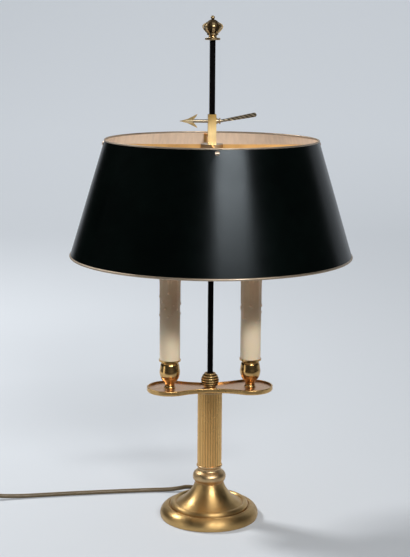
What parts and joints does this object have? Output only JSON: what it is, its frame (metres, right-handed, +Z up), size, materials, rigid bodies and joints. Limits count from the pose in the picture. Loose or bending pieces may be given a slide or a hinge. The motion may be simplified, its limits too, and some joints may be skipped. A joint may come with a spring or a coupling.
{
  "type": "bouillotte lamp",
  "caption": "Bouillotte table lamp: spun foot and fluted column carry a figure-8 candle tray; a metal shade slides on a square bar and is held by an arrow clamp",
  "frame": {"origin": "centre of the foot's resting face, on the floor", "axes": "+Z up; the candle tray and the arrow lie along X with the arrow's head towards -X; the front faces -Y and the cord leaves at +Y"},
  "size_m": [0.567, 0.3192, 0.5756],
  "materials": {
    "polished_brass": "polished, lightly aged",
    "satin_brass": "satin, lightly aged",
    "old_gold": "old gold with darkened hollows",
    "pale_brass": "pale polished brass",
    "black_bar": "black paint, satin",
    "shade_lacquer": "black-green gloss lacquer outside, gilt inside",
    "candle_ivory": "ivory, waxy",
    "bulb_glass": "clear",
    "plated_steel": "zinc plated",
    "contact_brass": "plain",
    "holder_plastic": "plain moulded",
    "cast_weight": "as cast",
    "felt": "green felt",
    "relief_rubber": "matt",
    "cord_sheath": "satin gold-brown sheath",
    "lead_sheath": "thin sheath",
    "switch_plastic": "moulded, gold-brown",
    "rocker_plastic": "moulded, dark brown"
  },
  "bodies": {
    "root": {"base_collar": "polished_brass", "base_foot": "polished_brass", "base_weight": "cast_weight", "bulb_cap_left": "contact_brass", "bulb_cap_right": "contact_brass", "bulb_glass_left": "bulb_glass", "bulb_glass_right": "bulb_glass", "candle_cover_left": "candle_ivory", "candle_cover_right": "candle_ivory", "candle_cup_left": "polished_brass", "candle_cup_right": "polished_brass", "candle_tray": "satin_brass", "column_cap": "polished_brass", "cord_coil": "cord_sheath", "cord_feed": "cord_sheath", "cord_link": "cord_sheath", "cord_relief": "relief_rubber", "cord_tail": "cord_sheath", "cup_nut_left": "plated_steel", "cup_nut_right": "plated_steel", "felt_pad": "felt", "finial_base": "old_gold", "finial_crown": "old_gold", "finial_orb": "old_gold", "fluted_column": "satin_brass", "holder_contact_left": "contact_brass", "holder_contact_right": "contact_brass", "holder_tube_left": "plated_steel", "holder_tube_right": "plated_steel", "inner_cord": "cord_sheath", "lampholder_left": "holder_plastic", "lampholder_right": "holder_plastic", "lead_left": "lead_sheath", "lead_right": "lead_sheath", "plug_body": "switch_plastic", "plug_pins": "plated_steel", "rod_nut": "plated_steel", "rod_washer": "plated_steel", "stem": "black_bar", "stem_ball": "satin_brass", "switch_contacts": "contact_brass", "switch_lower": "switch_plastic", "switch_screws": "plated_steel", "switch_upper": "switch_plastic", "terminal_block": "holder_plastic", "tie_rod": "plated_steel", "tray_underplate": "satin_brass"},
    "shade_carrier": {"slide_sleeve": "satin_brass", "spider_hub": "satin_brass", "spider_arms": "satin_brass", "shade_shell": "shade_lacquer", "shade_top_bead": "pale_brass", "shade_bottom_bead": "pale_brass", "shade_screws": "satin_brass", "shade_nuts": "satin_brass", "arrow_head": "pale_brass"},
    "clamp": {"clamp_screw": "satin_brass", "feather_lever": "pale_brass"},
    "rocker": {"switch_rocker": "rocker_plastic"}
  },
  "joints": [
    {"name": "shade_slide", "type": "slide", "parent": "root", "child": "shade_carrier", "axis": [0, 0, 1], "range_m": [-0.06, 0.08]},
    {"name": "clamp_screw_turn", "type": "hinge", "parent": "shade_carrier", "child": "clamp", "pos_m": [0.0075, 0, 0.4605], "axis": [1, 0, 0], "range_deg": [0, 360]},
    {"name": "switch_rocker_tip", "type": "hinge", "parent": "root", "child": "rocker", "pos_m": [-0.295, 0.0682, 0.0132], "axis": [0, 1, 0], "range_deg": [0, 16]}
  ]
}
